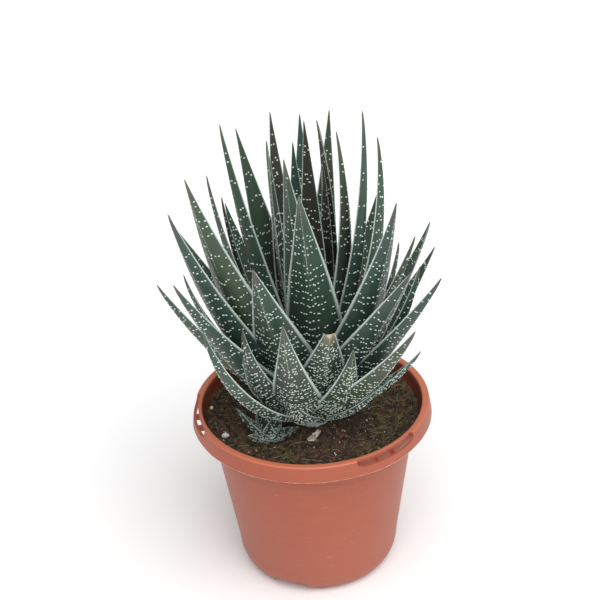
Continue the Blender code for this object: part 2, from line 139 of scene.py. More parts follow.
# Each leaf: compass angle, lean, length, width, curl, twist, slide, and the name of its skin
LEAVES = (
    (65, 1, 147, 18, 13, 0, -1, "brown"),
    (36, 3, 148, 17, 27, 0, -1, "brown"),
    (40, 5, 124, 17, 16, 0, -1, "brown"),
    (165, 5, 139, 18, 5, 0, 0, "green"),
    (343, 6, 148, 18, 28, -20, 0, "brown"),
    (97, 8, 131, 17, 6, 0, 0, "blue"),
    (114, 10, 147, 18, 10, 0, 1, "brown"),
    (340, 10, 162, 18, 24, -10, 0, "blue"),
    (198, 12, 160, 20, 9, 20, 0, "green"),
    (186, 12, 145, 18, 4, 10, 0, "brown"),
    (347, 13, 151, 20, 36, -16, 0, "green"),
    (255, 13, 154, 22, -6, 0, 3, "green"),
    (66, 14, 145, 19, 8, 0, 0, "olive"),
    (88, 16, 142, 20, 6, 0, 0, "blue"),
    (183, 16, 121, 17, 18, 10, 0, "olive"),
    (131, 17, 141, 23, 0, 0, 0, "green"),
    (185, 17, 135, 18, 18, 10, 0, "green"),
    (263, 21, 155, 30, -8, 4, 6, "green"),
    (227, 24, 167, 29, 15, 14, -1, "olive"),
    (311, 24, 147, 27, 19, -14, -1, "blue"),
    (335, 24, 109, 17, 30, 0, 0, "olive"),
    (208, 27, 130, 20, -1, 10, 0, "green"),
    (327, 27, 122, 20, 14, 0, 0, "olive"),
    (220, 28, 154, 26, 22, 14, 0, "blue"),
    (251, 29, 130, 34, 7, 4, -1, "green"),
    (263, 36, 111, 25, 36, 0, -3, "grey"),
    (320, 32, 119, 21, 36, 0, 0, "green"),
    (195, 32, 103, 20, 34, 0, 0, "green"),
    (307, 34, 131, 30, 3, -12, -2, "blue"),
    (225, 36, 132, 27, 18, 12, 0, "blue"),
    (209, 37, 120, 22, 21, 10, 0, "green"),
    (317, 37, 127, 24, 12, -10, 0, "blue"),
    (238, 34, 91, 18, 58, 18, -2, "grey"),
    (283, 40, 94, 20, 32, 0, 5, "olive"),
    (236, 41, 120, 20, 51, -6, -1, "green"),
    (303, 43, 117, 28, 17, 0, 0, "olive"),
    (254, 46, 46, 18, 52, 0, 0, "grey"),
    (333, 48, 71, 18, 29, 0, 0, "blue"),
    (304, 51, 58, 13, 26, 0, 1, "blue"),
)
BROKEN_LEAF = (280, 35, 93, 29, 9, 0, -1, "torn")
BROKEN_OFF = 0.10

REAR_LEAVES = 13
REAR_FROM = 18
REAR_TO = 162
REAR_LEANS = (34, 46, 55)
REAR_LENGTHS = (108, 98, 81)
REAR_WIDTH = 21
REAR_CURL = 24
REAR_SKINS = ("green", "blue", "olive")

OFFSET_PLACE = (-22 * MM, -19 * MM)
OFFSET_SIZE = 0.35
OFFSET_LIFT = 1.6 * MM
OFFSET_LEAVES = (
    (215, 8, 12, 12, 20, 0, 0, "brown"),
    (300, 16, 12, 10, 24, 0, 0, "brown"),
    (150, 20, 13, 10, 20, 0, 0, "green"),
    (20, 26, 13, 9, 20, 0, 0, "brown"),
    (203, 35, 25, 13, 15, 0, 0, "green"),
    (108, 48, 18, 10, 15, 0, 0, "green"),
    (231, 55, 17, 10, 15, 0, 0, "green"),
    (338, 56, 15, 11, 15, 0, 0, "green"),
    (80, 59, 15, 10, 15, 0, 0, "blue"),
)

# Tubercles: pale teeth along the margins and the keel, and pale spots in wavy rows across both faces
TOOTH_PITCH = 1.2 * MM
TOOTH_LENGTH = 0.8 * MM
TOOTH_RADIUS = 0.30 * MM
KEEL_FROM = 0.68
SPOT_PITCH = 1.45 * MM
SPOT_ROUND = (0.48 * MM, 0.86 * MM)
SPOT_ALONG = (0.42 * MM, 0.68 * MM)
SPOT_RISE = 0.22 * MM

# Loose things on the soil
SCRAP_PLACE = (0.5 * MM, -17.5 * MM)
SCRAP_SIZE = (9 * MM, 4 * MM, 0.8 * MM)
SCRAP_TURN = 55

# The photograph's camera: what it looks at, how far off it stands, its tilt and roll, and where the
# middle of the picture lies, in pixels of a 600-pixel picture
LOOK_AT = (0, 0, 90 * MM)
CAMERA_AWAY = 810.3 * MM
CAMERA_LENS = 94.8
FOCAL_PIXELS = 1580
CAMERA_TILT = 30.08
CAMERA_ROLL = -3.14
PICTURE_OFFSET = (12.18, 106.87)


# Node trees


class Finish:
    """A named material and the short calls that build its node tree."""

    def __init__(self, name, roughness):
        self.made = bpy.data.materials.new(name)
        self.made.use_nodes = True
        self.tree = self.made.node_tree
        self.shader = self.tree.nodes["Principled BSDF"]
        self.shader.inputs["Roughness"].default_value = roughness

    def node(self, kind, inputs, **settings):
        made = self.tree.nodes.new(kind)
        for key, value in settings.items():
            setattr(made, key, value)
        for key, value in inputs.items():
            socket = made.inputs[key]
            if isinstance(value, bpy.types.NodeSocket):
                self.tree.links.new(value, socket)
            else:
                socket.default_value = value
        return made

    def place(self):
        return self.node("ShaderNodeTexCoord", {}).outputs["Object"]

    def parts(self, vector):
        return self.node("ShaderNodeSeparateXYZ", {0: vector}).outputs

    def maths(self, operation, *values):
        inputs = dict(enumerate(values))
        return self.node("ShaderNodeMath", inputs, operation=operation).outputs[0]

    def mottle(self, vector, scale, detail=3.0, roughness=0.55):
        inputs = {"Vector": vector, "Scale": scale, "Detail": detail, "Roughness": roughness}
        return self.node("ShaderNodeTexNoise", inputs).outputs["Fac"]

    def cells(self, vector, scale, feature="F1"):
        inputs = {"Vector": vector, "Scale": scale}
        return self.node("ShaderNodeTexVoronoi", inputs, feature=feature).outputs

    def stretch(self, vector, scale, place=(0, 0, 0)):
        inputs = {"Vector": vector, "Scale": scale, "Location": place}
        return self.node("ShaderNodeMapping", inputs).outputs[0]

    def step(self, value, low, high, to_low=0.0, to_high=1.0):
        inputs = {"Value": value, 1: low, 2: high, 3: to_low, 4: to_high}
        made = self.node("ShaderNodeMapRange", inputs, interpolation_type="SMOOTHSTEP")
        return made.outputs[0]

    def blend(self, factor, first, second, mode="MIX"):
        inputs = {0: factor, 6: first, 7: second}
        made = self.node("ShaderNodeMix", inputs, data_type="RGBA", blend_type=mode)
        return made.outputs[2]

    def ramp(self, value, stops):
        made = self.node("ShaderNodeValToRGB", {0: value})
        elements = made.color_ramp.elements
        for position, colour in stops[2:]:
            elements.new(position)
        for element, (position, colour) in zip(elements, sorted(stops)):
            element.position = position
            element.color = (*colour, 1)
        return made.outputs[0]

    def bump(self, height, strength, distance):
        inputs = {"Height": height, "Strength": strength, "Distance": distance}
        made = self.node("ShaderNodeBump", inputs)
        self.tree.links.new(made.outputs[0], self.shader.inputs["Normal"])

    def use(self, **sockets):
        for key, value in sockets.items():
            socket = self.shader.inputs[key.replace("_", " ")]
            if isinstance(value, bpy.types.NodeSocket):
                self.tree.links.new(value, socket)
            else:
                socket.default_value = value
        return self.made


def colour(red, green, blue):
    return (red, green, blue, 1)


def leaf_skin(name, root, middle, tip, end, inner):
    """Skin of a leaf: its colours from root to end, darker inside, with a pale margin, a painted blue-green sheen
    towards the margins and a faint keel line.
    """
    skin = Finish(name, 0.4)
    place = skin.place()
    along = skin.node("ShaderNodeUVMap", {}, uv_map="along").outputs[0]
    across, height, _ = skin.parts(along)
    patches = skin.mottle(place, 70, 3)
    grain = skin.mottle(place, 900, 2)
    streaks = skin.mottle(skin.stretch(along, (46, 2.2, 1)), 1.0, 3)
    wander = skin.maths("MULTIPLY_ADD", patches, 0.16, -0.08)
    level = skin.maths("ADD", height, wander)
    body = skin.ramp(level, ((0.0, root), (1.0, end), (0.2, middle), (0.72, middle), (0.9, tip)))
    body = skin.blend(skin.step(patches, 0.35, 0.75, 0.0, 0.32), body, colour(*(1.45 * c for c in middle)))
    body = skin.blend(skin.step(streaks, 0.3, 0.7, 0.35, 0.0), body, colour(*(0.5 * c for c in middle)))
    edge = skin.maths("PINGPONG", across, 0.25)
    outside = skin.maths("GREATER_THAN", across, 0.5)
    # Painted sheen: a blue-green tint towards both margins stands in for the reflection they catch at grazing angles.
    body = skin.blend(skin.step(edge, 0.16, 0.05, 0.0, 0.3), body, colour(0.055, 0.105, 0.095))
    inside = skin.blend(skin.step(patches, 0.3, 0.7, 0.75, 1.0), body, colour(*inner))
    body = skin.blend(outside, inside, body)
    keel = skin.step(edge, 0.2405, 0.2465)
    keel = skin.maths("MULTIPLY", keel, outside)
    keel = skin.maths("MULTIPLY", keel, skin.step(height, KEEL_FROM - 0.04, KEEL_FROM + 0.06, 0.0, 0.6))
    body = skin.blend(keel, body, colour(0.27, 0.34, 0.24))
    ragged = skin.maths("MULTIPLY_ADD", grain, 0.02, -0.01)
    rim = skin.step(skin.maths("ADD", edge, ragged), 0.080, 0.048)
    body = skin.blend(rim, body, colour(0.52, 0.62, 0.55))
    body = skin.blend(skin.step(height, 0.955, 1.0), body, colour(*end))
    gloss = skin.maths("MULTIPLY_ADD", patches, 0.22, 0.32)
    relief = skin.maths("ADD", grain, skin.maths("MULTIPLY", streaks, 2.0))
    skin.bump(relief, 0.25, 0.25 * MM)
    return skin.use(Base_Color=body, Roughness=gloss, Specular_IOR_Level=0.45)


def tubercle_white():
    white = Finish("tubercle_white", 0.5)
    place = white.place()
    body = white.blend(white.mottle(place, 350, 2), colour(0.46, 0.57, 0.50), colour(0.78, 0.85, 0.79))
    return white.use(Base_Color=body)


def moulded_terracotta():
    """Semi-matt plastic with faint clouding, turned flow lines, fine specks, dust low down and a few scuffs, with a
    painted highlight along the rim top and painted shade, with some dirt, on the inner wall.
    """
    plastic = Finish("moulded_terracotta", 0.5)
    place = plastic.place()
    x, y, z = plastic.parts(place)
    clouds = plastic.mottle(place, 26, 4)
    specks = plastic.mottle(place, 1500, 2)
    flow = plastic.mottle(plastic.stretch(place, (30, 30, 900)), 1.0, 2)
    body = plastic.blend(clouds, colour(0.315, 0.068, 0.031), colour(0.375, 0.090, 0.045))
    body = plastic.blend(plastic.step(specks, 0.55, 0.75, 0.0, 0.25), body, colour(0.45, 0.145, 0.082))
    body = plastic.blend(plastic.step(z, 0.06, 0.0, 0.0, 0.28), body, colour(0.34, 0.12, 0.085))
    body = plastic.blend(plastic.step(flow, 0.45, 0.7, 0.0, 0.10), body, colour(0.42, 0.15, 0.10))
    # Painted shade with some dirt: the inner wall between the soil and the lip is darkened, partly for the shade that
    # falls into the pot and partly for the plastic's dirt there.
    radius = plastic.maths("SQRT", plastic.maths("ADD", plastic.maths("MULTIPLY", x, x), plastic.maths("MULTIPLY", y, y)))
    slope = (SHOULDER[2][0] - SHOULDER[1][0]) / (SHOULDER[2][1] - SHOULDER[1][1])
    middle = plastic.maths("MULTIPLY_ADD", z, slope, SHOULDER[1][0] - SHOULDER[1][1] * slope - WALL / 2)
    inside = plastic.maths("MULTIPLY", plastic.maths("LESS_THAN", radius, middle), plastic.step(z, 0.0942, 0.0915, 0.0, 0.8))
    inside = plastic.maths("MULTIPLY", inside, plastic.maths("GREATER_THAN", z, SHOULDER[1][1] + MM))
    body = plastic.blend(inside, body, colour(0.12, 0.026, 0.018))
    # Painted highlight: the top of the rim is lightened to stand in for the light from above that catches it.
    painted_rim_highlight = plastic.step(z, POT_HEIGHT - RIM_ROUND, POT_HEIGHT - RIM_ROUND / 4)
    body = plastic.blend(plastic.maths("MULTIPLY", painted_rim_highlight, 0.75), body, colour(0.56, 0.165, 0.085))
    scratch_place = plastic.stretch(place, (130, 130, 700))
    scratches = plastic.maths("MULTIPLY", plastic.step(plastic.mottle(scratch_place, 1.0, 4), 0.66, 0.72),
                              plastic.step(clouds, 0.5, 0.62))
    body = plastic.blend(plastic.maths("MULTIPLY", scratches, 0.35), body, colour(0.60, 0.32, 0.25))
    plastic.bump(plastic.maths("ADD", specks, flow), 0.12, 0.12 * MM)
    gloss = plastic.maths("MULTIPLY_ADD", clouds, 0.2, 0.36)
    return plastic.use(Base_Color=body, Roughness=gloss, Specular_IOR_Level=0.5)


def damp_peat():
    """Dark peat with reddish fibrous patches, olive moss and pale specks."""
    peat = Finish("damp_peat", 0.9)
    place = peat.place()
    clods = peat.mottle(place, 330, 5, 0.65)
    drift = peat.mottle(place, 42, 3)
    body = peat.ramp(clods, ((0.25, (0.012, 0.009, 0.006)), (0.75, (0.13, 0.076, 0.046)), (0.5, (0.048, 0.029, 0.019))))
    rust = peat.step(drift, 0.5, 0.64, 0.0, 0.5)
    body = peat.blend(rust, body, colour(0.135, 0.062, 0.038))
    moss = peat.maths("MULTIPLY", peat.step(peat.mottle(peat.stretch(place, (1, 1, 1), (0.3, 0.2, 0)), 55, 3), 0.52, 0.62),
                      peat.step(clods, 0.4, 0.6))
    body = peat.blend(peat.maths("MULTIPLY", moss, 0.75), body, colour(0.125, 0.115, 0.035))
    specks = peat.step(peat.cells(place, 620)["Distance"], 0.16, 0.10)
    body = peat.blend(peat.maths("MULTIPLY", specks, peat.step(drift, 0.45, 0.6)), body, colour(0.34, 0.26, 0.16))
    peat.bump(clods, 0.9, 1.2 * MM)
    return peat.use(Base_Color=body, Specular_IOR_Level=0.25)


def plain_tone(name, first, second, roughness, scale, strength=0.3, **sockets):
    """A grained finish between two tones, for crumbs, fibres, moss and the loose things."""
    tone = Finish(name, roughness)
    place = tone.place()
    grain = tone.mottle(place, scale, 4)
    tone.bump(grain, strength, 0.2 * MM)
    body = tone.blend(tone.step(grain, 0.35, 0.65), colour(*first), colour(*second))
    return tone.use(Base_Color=body, **sockets)


# Shaping


def polar(radius, degrees, z):
    angle = math.radians(degrees)
    return Vector((radius * math.cos(angle), radius * math.sin(angle), z))


def tube(bm, around, along, place):
    """Adds a grid bent round into a closed tube. place(u, v) gives each point, and each end comes to one point."""
    bm.loops.layers.uv.verify()
    made = bmesh.ops.create_grid(bm, x_segments=around, y_segments=along, size=1, calc_uvs=True)["verts"]
    for vert in made:
        vert.co = place((vert.co.x + 1) / 2, (vert.co.y + 1) / 2)
    bmesh.ops.remove_doubles(bm, verts=made, dist=0.001 * MM)


def piece(name, bm, finishes, node, smooth=True, sharp=None):
    """Turns a bmesh into a piece of the plant's one body that stands for a solid of the frame."""
    mesh = bpy.data.meshes.new(name)
    bm.to_mesh(mesh)
    bm.free()
    for finish in finishes:
        mesh.materials.append(finish)
    obj = bpy.data.objects.new(name, mesh)
    bpy.context.scene.collection.objects.link(obj)
    if smooth:
        mesh.shade_smooth()
    if sharp:
        mesh.set_sharp_from_angle(angle=math.radians(sharp))
    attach(obj, "root")
    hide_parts(node)
    return obj


def turned(profile, segments):
    """A bmesh of an (r, z) profile turned round the pot's axis and merged into one skin."""
    bm = bmesh.new()
    verts = [bm.verts.new((r, 0, z)) for r, z in profile]
    edges = [bm.edges.new(pair) for pair in zip(verts, verts[1:])]
    bmesh.ops.spin(
        bm,
        geom=verts + edges,
        axis=(0, 0, 1),
        cent=(0, 0, 0),
        angle=math.radians(360),
        steps=segments,
        use_merge=True,
    )
    bmesh.ops.remove_doubles(bm, verts=bm.verts, dist=0.001 * MM)
    bmesh.ops.recalc_face_normals(bm, faces=bm.faces)
    return bm


def arc_block(inner, outer, low, high, degrees, sweep, steps):
    """A bmesh of a curved block: a rectangle in (r, z) swept about the axis, centred on a compass angle."""
    bm = bmesh.new()
    corners = ((inner, low), (outer, low), (outer, high), (inner, high))
    face = bm.faces.new([bm.verts.new((r, 0, z)) for r, z in corners])
    bmesh.ops.spin(
        bm,
        geom=[face],
        axis=(0, 0, 1),
        cent=(0, 0, 0),
        angle=math.radians(sweep),
        steps=steps,
    )
    turn = Matrix.Rotation(math.radians(degrees - sweep / 2), 4, "Z")
    bmesh.ops.transform(bm, matrix=turn, verts=bm.verts)
    bmesh.ops.recalc_face_normals(bm, faces=bm.faces)
    return bm


# Leaves


def leaf_width(share):
    taper = LEAF_TAPER * (1 - share)
    body = taper / (1 + taper ** LEAF_SHOULDER) ** (1 / LEAF_SHOULDER)
    return body * (1 - ROOT_NARROWING * math.exp(-share / ROOT_LENGTH))


class Leaf:
    """One leaf's arc and section. It gives any point of the skin, and which way the skin faces there."""

    def __init__(self, spec, middle, size, lost=0.0):
        azimuth, lean, length, width, curl, twist, slide, self.skin = spec
        share = min(lean / ROOT_LEAN, 1)
        radius = size * (ROOT_RADII[0] + (ROOT_RADII[1] - ROOT_RADII[0]) * share)
        height = size * (ROOT_HEIGHTS[0] + (ROOT_HEIGHTS[1] - ROOT_HEIGHTS[0]) * share)
        self.outward = polar(1, azimuth, 0)
        self.sideways = UP.cross(self.outward)
        self.root = Vector(middle) + polar(radius, azimuth, height) + self.sideways * slide * MM
        self.length = length * MM
        self.width = width * MM
        self.curl = math.radians(curl or 0.01)
        self.start = math.radians(lean) + self.curl / 2
        self.twist = math.radians(twist)
        self.lost = lost
        self.seed = azimuth * 0.37 + lean * 1.7

    def midline(self, share):
        """The middle of the leaf, and its sideways and inward directions there."""
        angle = self.start - self.curl * share
        out = self.length * (math.cos(angle) - math.cos(self.start)) / self.curl
        up = self.length * (math.sin(self.start) - math.sin(angle)) / self.curl
        inward = -self.outward * math.cos(angle) + UP * math.sin(angle)
        turn = Matrix.Rotation(self.twist, 3, self.sideways.cross(inward))
        return self.root + self.outward * out + UP * up, turn @ self.sideways, turn @ inward

    def skin_point(self, share, across, outer):
        middle, sideways, inward = self.midline(share)
        share *= 1 - self.lost
        half = self.width * leaf_width(share) / 2 + LEAF_TIP / 2
        thick = self.width * LEAF_THICKNESS * (1 - share) ** KEEL_FADE + TIP_THICKNESS
        channel = self.width * LEAF_CHANNEL * (1 - share)
        reach = abs(across)
        if outer:
            depth = channel - (channel + thick) * (1 - reach ** (1.95 - 0.8 * share))
        else:
            depth = channel * reach ** 1.7
        swell = noise.noise(Vector((share * 5, across * 0.9, self.seed)))
        depth += swell * 0.02 * self.width * (1 - share) * (1 - reach ** 4)
        half *= 1 + 0.02 * noise.noise(Vector((share * 7, across * 3, self.seed)))
        return middle + sideways * half * across + inward * depth

    def skin_frame(self, share, across, outer):
        """A point of the skin with its directions across, along and out of it."""
        here = self.skin_point(share, across, outer)
        step = 0.01 if share < 0.98 else -0.01
        side = 0.04 if across < 0.9 else -0.04
        along = (self.skin_point(share + step, across, outer) - here).normalized() * math.copysign(1, step)
        over = (self.skin_point(share, across + side, outer) - here).normalized() * math.copysign(1, side)
        face = over.cross(along).normalized()
        inward = self.midline(share)[2]
        if (face.dot(inward) > 0) == outer:
            face = -face
            over = -over
        return here, over, along, face

    def body(self, bm):
        """The closed skin: strips narrow towards the margins, so that they carry the pale rim."""
        rings = max(9, round(self.length / LEAF_RING))
        end = self.skin_point(1, 0, False)
        heel = self.midline(0)[0]
        _, _, inward = self.midline(1)
        ahead = (self.skin_point(1, 0, False) - self.skin_point(0.98, 0, False)).normalized()

        def place(u, v):
            ring = round(v * (rings + 2)) - 1
            if ring < 0:
                return heel
            if ring > rings:
                return end + ahead * (0.6 if self.lost else 1.3) * MM - inward * TIP_THICKNESS / 2
            turn = 2 * math.pi * u
            outer = u > 0.5
            across = math.cos(turn) if not outer else -math.cos(turn - math.pi)
            point = self.skin_point((ring / rings) ** 1.05, max(-1, min(1, across)), outer)
            if self.lost and ring == rings:
                point += ahead * 3.2 * MM * noise.noise(Vector((u * 17, 3, 1)))
            return point

        tube(bm, 2 * FACE_STRIPS, rings + 2, place)
        bmesh.ops.recalc_face_normals(bm, faces=bm.faces)


def pour(bm, gathered):
    """Moves the shapes of a small bmesh into a larger one, because operators are quick only on a small one."""
    mesh = bpy.data.meshes.new("pour")
    bm.to_mesh(mesh)
    bm.free()
    gathered.from_mesh(mesh)
    bpy.data.meshes.remove(mesh)


def batches(things, size=40):
    things = list(things)
    for start in range(0, len(things), size):
        yield things[start:start + size]


def framed(here, over, along, face):
    """A matrix that lays x across, y along and z out of the skin at a place."""
    return Matrix.Translation(here) @ Matrix((over, along, face)).transposed().to_4x4()


def add_spot(bm, leaf, outer, share, across, wide, long):
    here, over, along, face = leaf.skin_frame(share, across, outer)
    size = Matrix.Diagonal((wide, long, SPOT_RISE, 1))
    bmesh.ops.create_icosphere(
        bm, subdivisions=1, radius=1, matrix=framed(here, over, face.cross(over), face) @ size
    )


def add_tooth(bm, here, aim, length, radius):
    turn = aim.to_track_quat("Z", "Y").to_matrix().to_4x4()
    lift = Matrix.Translation((0, 0, length / 2 - 0.2 * MM))
    bmesh.ops.create_cone(
        bm,
        cap_ends=True,
        segments=4,
        radius1=radius,
        radius2=0.03 * MM,
        depth=length,
        matrix=Matrix.Translation(here) @ turn @ lift,
    )


def spot_rows(leaf, outer, rng):
    """Places and sizes of the pale spots, in wavy rows across a face, sparse towards the tip."""
    spots = []
    pitch = max(1.3 * MM, 2.7 * MM + 0.05 * (leaf.length - 100 * MM))
    if not outer:
        pitch *= 1.15
    share = 0.05 if outer else 0.14
    while share < 0.94:
        half = leaf.width * leaf_width(share * (1 - leaf.lost)) / 2
        count = max(1, round(2 * half * 0.88 / SPOT_PITCH))
        phase = rng.uniform(0, 6.28)
        bend = rng.uniform(-0.9, 0.9) * MM
        fill = ((1.0 - 0.35 * share) if outer else (0.9 - 0.3 * share)) * rng.uniform(0.75, 1.1)
        run = rng.random() < fill
        for index in range(count):
            if rng.random() < 0.42:
                run = rng.random() < fill
            if not run:
                continue
            across = ((index + 0.5) / count * 2 - 1) * 0.88 + rng.uniform(-0.35, 0.35) * SPOT_PITCH / half
            wave = math.sin(phase + across * half / (0.95 * MM)) * 0.6 * MM
            drift = bend * across + wave + rng.gauss(0, 0.2 + 0.9 * share * share) * MM
            at = min(0.96, max(0.04, share + drift / leaf.length))
            small = min(1, leaf.width / (14 * MM)) * (1 - 0.2 * share)
            wide = rng.uniform(*SPOT_ROUND) * small
            long = rng.uniform(*SPOT_ALONG) * small
            if abs(across) < 0.9:
                spots.append((at, across, wide, long))
        spread = 0.72 + 0.7 * share if share < 0.45 else 1.03 - 0.85 * (share - 0.45)
        share += pitch * spread / leaf.length * rng.uniform(0.9, 1.12)
    return spots


def toothed_edges(leaf, rng):
    """Places, aims and sizes of the teeth along both margins and along the keel near the tip."""
    teeth = []
    small = min(1, leaf.width / (14 * MM))
    pitch = TOOTH_PITCH * (0.6 + 0.4 * small)
    count = round(leaf.length * 0.97 / pitch)
    for index in range(2, count):
        share = index / count * 0.985
        for across in (-1, 1):
            here, over, along, face = leaf.skin_frame(share, across * 0.999, False)
            aside = leaf.midline(share)[1] * across
            size = small * rng.uniform(0.75, 1.1) * (1 - 0.45 * share ** 2)
            aim = aside + along * rng.uniform(0.15, 0.6)
            teeth.append((here - aside * 0.1 * MM, aim, TOOTH_LENGTH * size, TOOTH_RADIUS * size))
    if leaf.lost or leaf.width < 12 * MM:
        return teeth
    share = KEEL_FROM
    while share < 0.95:
        here, over, along, face = leaf.skin_frame(share, 0.0, True)
        size = rng.uniform(0.6, 0.85)
        teeth.append((here, face + along * 0.5, TOOTH_LENGTH * size, TOOTH_RADIUS * size))
        share += 2.3 * MM / leaf.length * rng.uniform(0.8, 1.3)
    return teeth


def grow(names, leaves, node, skins, white, group):
    """Makes each leaf's skin as a piece, and the tubercles of the whole group as one more."""
    rng = random.Random(group)
    gathered = bmesh.new()
    for name, leaf in zip(names, leaves):
        bm = bmesh.new()
        bm.loops.layers.uv.new("along")
        leaf.body(bm)
        piece(name, bm, [skins[leaf.skin]], node, sharp=50)
        for outer in (True, False):
            for batch in batches(spot_rows(leaf, outer, rng)):
                bm = bmesh.new()
                for spot in batch:
                    add_spot(bm, leaf, outer, *spot)
                pour(bm, gathered)
        for batch in batches(toothed_edges(leaf, rng)):
            bm = bmesh.new()
            for tooth in batch:
                add_tooth(bm, *tooth)
            pour(bm, gathered)
    piece("tubercles_" + group, gathered, [white], node)


def make_rosette(skins, white):
    crown = (0, 0, SOIL_LEVEL)
    leaves = [Leaf(spec, crown, 1.0) for spec in LEAVES]
    names = [f"leaf_{number:02d}" for number in range(1, len(LEAVES) + 1)]
    groups = (("heart", 0, 11), ("upright", 11, 20), ("spreading", 20, 30), ("low", 30, len(LEAVES)))
    for group, first, last in groups:
        grow(names[first:last], leaves[first:last], "rosette", skins, white, group)
    grow(["broken_leaf"], [Leaf(BROKEN_LEAF, crown, 1.0, BROKEN_OFF)], "rosette", skins, white, "broken")

    rear = []
    for index in range(REAR_LEAVES):
        degrees = REAR_FROM + (REAR_TO - REAR_FROM) * index / (REAR_LEAVES - 1)
        rank = index % len(REAR_LEANS)
        sizes = (REAR_LEANS[rank], REAR_LENGTHS[rank], REAR_WIDTH - rank, REAR_CURL)
        rear.append(Leaf((degrees, *sizes, 0, 0, REAR_SKINS[rank]), crown, 1.0))
    names = [f"rear_leaf_{number:02d}" for number in range(1, REAR_LEAVES + 1)]
    grow(names, rear, "rosette", skins, white, "rear")

    bm = turned(((0, 62 * MM), (7.5 * MM, 62 * MM), (8.4 * MM, 76 * MM), (STEM_RADIUS, 90 * MM), (8 * MM, 98 * MM),
                 (0, STEM_TOP)), 40)
    for vert in bm.verts:
        vert.co *= 1 + 0.03 * noise.noise(vert.co * 300)
    piece("stem", bm, [skins["stem"]], "rosette")


def make_offset(skins, white):
    x, y = OFFSET_PLACE
    crown = (x, y, SOIL_LEVEL + OFFSET_LIFT)
    leaves = [Leaf(spec, crown, OFFSET_SIZE) for spec in OFFSET_LEAVES]
    names = [f"offset_leaf_{number}" for number in range(1, len(leaves) + 1)]
    grow(names, leaves, "offset_rosette", skins, white, "offset")
    bm = turned(((0, 72 * MM), (2.6 * MM, 72 * MM), (3.2 * MM, 84 * MM), (2.6 * MM, 88.6 * MM), (0, 89.1 * MM)), 20)
    bmesh.ops.translate(bm, vec=(x, y, 0), verts=bm.verts)
    piece("offset_stem", bm, [skins["stem"]], "offset_rosette")


# Pot


def quarter(start, end, steps):
    """Points of a quarter ellipse that leaves start level and reaches end upright, without its start."""
    turns = [(step + 1) / steps * math.pi / 2 for step in range(steps)]
    return [
        (
            start[0] + (end[0] - start[0]) * math.sin(turn),
            end[1] - (end[1] - start[1]) * math.cos(turn),
        )
        for turn in turns
    ]


def wall_radius(z):
    share = (z - CORNER_Z) / (NECK_Z - CORNER_Z)
    return CORNER_RADIUS + (NECK_RADIUS - CORNER_RADIUS) * share


def angle_from(point, degrees):
    turn = math.degrees(math.atan2(point.y, point.x)) - degrees
    return (turn + 180) % 360 - 180


def inner_profile():
    floor_top = FOOT_RAISE + FLOOR
    corner_start = (FOOT_RADIUS - 2 * MM, floor_top)
    corner_end = (CORNER_RADIUS - WALL, CORNER_Z)
    return [
        (0, floor_top),
        corner_start,
        *quarter(corner_start, corner_end, 8),
        (NECK_RADIUS - WALL, NECK_Z),
        *[(r - WALL, z + SHOULDER_LIFT) for r, z in SHOULDER],
        (RIM_OPENING, POT_HEIGHT - RIM_ROUND),
    ]


def boolean(obj, collection, operation):
    """Joins or cuts an object by every mesh of a collection, then removes the collection's objects."""
    modifier = obj.modifiers.new(operation.title(), "BOOLEAN")
    modifier.operation = operation
    modifier.operand_type = "COLLECTION"
    modifier.collection = collection
    modifier.solver = "EXACT"
    graph = bpy.context.evaluated_depsgraph_get()
    graph.update()
    result = bpy.data.meshes.new_from_object(obj.evaluated_get(graph))
    obj.modifiers.remove(modifier)
    obj.data = result
    for helper in list(collection.objects):
        bpy.data.objects.remove(helper, do_unlink=True)
    bpy.data.collections.remove(collection)


def helper_collection(name):
    made = bpy.data.collections.new(name)
    bpy.context.scene.collection.children.link(made)
    return made


def helper(name, bm, collection):
    mesh = bpy.data.meshes.new(name)
    bm.to_mesh(mesh)
    bm.free()
    obj = bpy.data.objects.new(name, mesh)
    collection.objects.link(obj)


def bulged(vert):
    """Pushes the straps of the hanger slots outwards."""
    radius = math.hypot(vert.co.x, vert.co.y)
    if radius < RIM_RADIUS - WALL or vert.co.z > SKIRT_LOW + STRAP_HEIGHT + 0.3 * MM:
        return
    for degrees in SLOT_ANGLES:
        share = abs(angle_from(vert.co, degrees)) / (SLOT_ARC / 2)
        if share < 1:
            push = 1 + STRAP_BULGE * math.cos(share * math.pi / 2) ** 2 / radius
            vert.co.x *= push
            vert.co.y *= push


